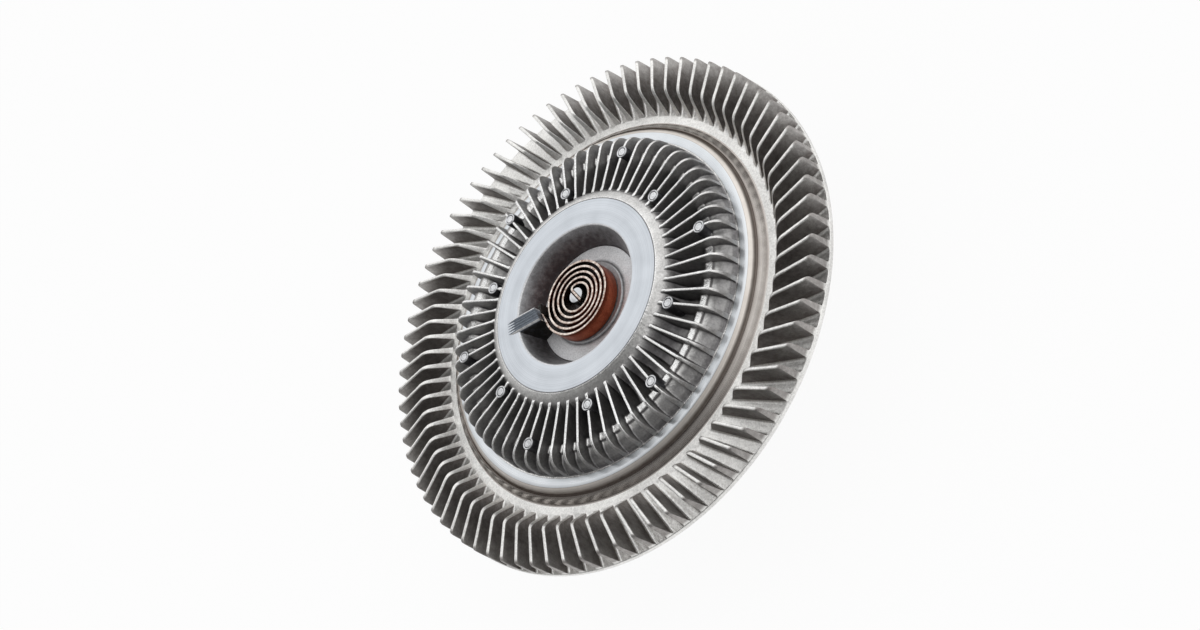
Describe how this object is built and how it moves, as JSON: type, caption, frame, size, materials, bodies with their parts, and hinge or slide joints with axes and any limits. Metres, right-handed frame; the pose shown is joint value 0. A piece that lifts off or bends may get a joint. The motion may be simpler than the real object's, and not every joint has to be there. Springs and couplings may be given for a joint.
{
  "type": "viscous fan clutch",
  "caption": "Thermostatic viscous fan clutch: finned housing with skewed rim blades, finned cover with a spiral bimetal coil, and a hex collar shaft.",
  "frame": {"origin": "on the clutch's axis, in the flat end of the hex collar on which it stands", "axes": "+Z along the axis towards the bimetal coil; +X towards a fin of the front cover"},
  "size_m": [0.22, 0.22, 0.0762],
  "materials": {
    "cast_aluminium": "raw die casting",
    "turned_steel": "turned",
    "bearing_steel": "ground",
    "spring_strip": "rolled strip",
    "bimetal": "rolled strip, heat tinted",
    "black_rubber": "moulded",
    "cage_plastic": "moulded"
  },
  "bodies": {
    "drive": {"input_shaft": "turned_steel", "rotor": "cast_aluminium", "rotor_circlip": "turned_steel", "bearing_inner_ring": "bearing_steel"},
    "housing": {"housing": "cast_aluminium", "cover": "cast_aluminium", "cover_seal": "black_rubber", "pump_plate": "turned_steel", "plate_screw_1": "turned_steel", "plate_screw_2": "turned_steel", "plate_screw_3": "turned_steel", "plate_screw_4": "turned_steel", "bearing_outer_ring": "bearing_steel", "bearing_shield_front": "bearing_steel", "bearing_shield_rear": "bearing_steel", "bearing_circlip": "turned_steel", "fan_stud_1": "turned_steel", "fan_stud_2": "turned_steel", "fan_stud_3": "turned_steel", "fan_stud_4": "turned_steel", "bimetal_coil": "bimetal", "valve_seal": "black_rubber"},
    "cage": {"bearing_cage": "cage_plastic", "bearing_ball_1": "bearing_steel", "bearing_ball_2": "bearing_steel", "bearing_ball_3": "bearing_steel", "bearing_ball_4": "bearing_steel", "bearing_ball_5": "bearing_steel", "bearing_ball_6": "bearing_steel", "bearing_ball_7": "bearing_steel", "bearing_ball_8": "bearing_steel"},
    "valve": {"valve_shaft": "turned_steel", "valve_arm": "spring_strip", "valve_clip": "turned_steel"}
  },
  "joints": [
    {"name": "housing_spin", "type": "hinge", "parent": "drive", "child": "housing", "pos_m": [0, 0, 0.0327], "axis": [0, 0, 1], "continuous": true},
    {"name": "cage_spin", "type": "hinge", "parent": "drive", "child": "cage", "pos_m": [0, 0, 0.0327], "axis": [0, 0, 1], "continuous": true},
    {"name": "valve_turn", "type": "hinge", "parent": "housing", "child": "valve", "pos_m": [0, 0, 0.0664], "axis": [0, 0, 1], "range_deg": [0, 45], "stiffness_Nm_per_rad": 0.02, "deforming": ["bimetal_coil"]}
  ],
  "couplings": [
    {"joint": "cage_spin", "follows": "housing_spin", "ratio": 0.6075}
  ]
}
